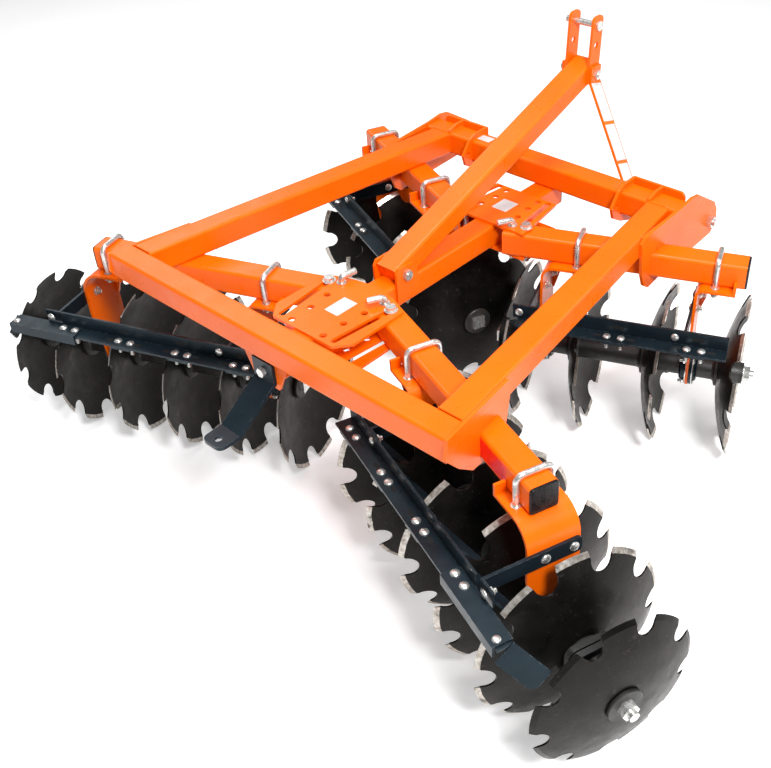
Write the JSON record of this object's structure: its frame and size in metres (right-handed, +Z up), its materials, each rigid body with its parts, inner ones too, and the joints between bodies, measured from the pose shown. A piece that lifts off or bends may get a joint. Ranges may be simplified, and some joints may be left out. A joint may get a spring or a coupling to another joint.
{
  "type": "tandem disc harrow",
  "caption": "Three-point-mounted tandem disc harrow: tapered square-tube frame, sloping mast, four slanted gangs of notched discs that spin freely, scraper bars behind them.",
  "frame": {"origin": "on the ground, midway along the length of the harrow, on its centreline", "axes": "+X forward (towards the tractor), +Y left, +Z up"},
  "size_m": [1.6516, 2.3486, 1.1635],
  "materials": {
    "orange_paint": "gloss powder coat",
    "black_paint": "satin black paint",
    "disc_steel": "black oiled heat-treated steel with ground edge",
    "cast_iron": "black painted casting",
    "zinc": "zinc plated",
    "black_plastic": "moulded plastic"
  },
  "bodies": {
    "frame": {"beam_clamps": "zinc", "beam_end_caps": "black_plastic", "bearing_housings": "black_paint", "centre_tube": "orange_paint", "centre_tube_cap": "black_plastic", "drag_strap": "black_paint", "drag_strap_bolt": "zinc", "drag_tail_plate": "orange_paint", "front_crossbar": "orange_paint", "front_hangers": "orange_paint", "front_pivot_plates": "orange_paint", "front_scraper_blades": "black_paint", "front_side_plates": "orange_paint", "gang_beam_front_left": "orange_paint", "gang_beam_front_right": "orange_paint", "gang_beam_rear_left": "orange_paint", "gang_beam_rear_right": "orange_paint", "hitch_brackets": "orange_paint", "lower_link_pins": "zinc", "mast_bolts": "zinc", "mast_brace_left": "orange_paint", "mast_brace_right": "orange_paint", "mast_foot_ears": "orange_paint", "mast_tube": "orange_paint", "pivot_plate_bolts": "zinc", "rail_left": "orange_paint", "rail_right": "orange_paint", "rear_crossbar": "orange_paint", "rear_hangers": "orange_paint", "rear_pivot_plates": "orange_paint", "rear_scraper_blades": "black_paint", "rear_side_plates": "orange_paint", "scraper_arms": "black_paint", "scraper_bar_front_left": "black_paint", "scraper_bar_front_right": "black_paint", "scraper_bar_rear_left": "black_paint", "scraper_bar_rear_right": "black_paint", "scraper_extensions": "black_paint", "setting_pins": "zinc", "top_hitch_straps": "orange_paint", "top_link_pin": "zinc"},
    "front_right_gang": {"discs_front_right": "disc_steel", "spools_front_right": "cast_iron", "axle_front_right": "zinc"},
    "front_left_gang": {"discs_front_left": "disc_steel", "spools_front_left": "cast_iron", "axle_front_left": "zinc"},
    "rear_right_gang": {"discs_rear_right": "disc_steel", "spools_rear_right": "cast_iron", "axle_rear_right": "zinc"},
    "rear_left_gang": {"discs_rear_left": "disc_steel", "spools_rear_left": "cast_iron", "axle_rear_left": "zinc"}
  },
  "joints": [
    {"name": "front_right_gang_spin", "type": "hinge", "parent": "frame", "child": "front_right_gang", "pos_m": [0.58408, -0.73396, 0.254], "axis": [-0.3778, 0.9259, 0], "continuous": true},
    {"name": "front_left_gang_spin", "type": "hinge", "parent": "frame", "child": "front_left_gang", "pos_m": [0.58408, 0.73396, 0.254], "axis": [0.3778, 0.9259, 0], "continuous": true},
    {"name": "rear_right_gang_spin", "type": "hinge", "parent": "frame", "child": "rear_right_gang", "pos_m": [-0.50677, -0.83766, 0.254], "axis": [0.3535, 0.9354, 0], "continuous": true},
    {"name": "rear_left_gang_spin", "type": "hinge", "parent": "frame", "child": "rear_left_gang", "pos_m": [-0.50677, 0.83766, 0.254], "axis": [-0.3535, 0.9354, 0], "continuous": true}
  ]
}
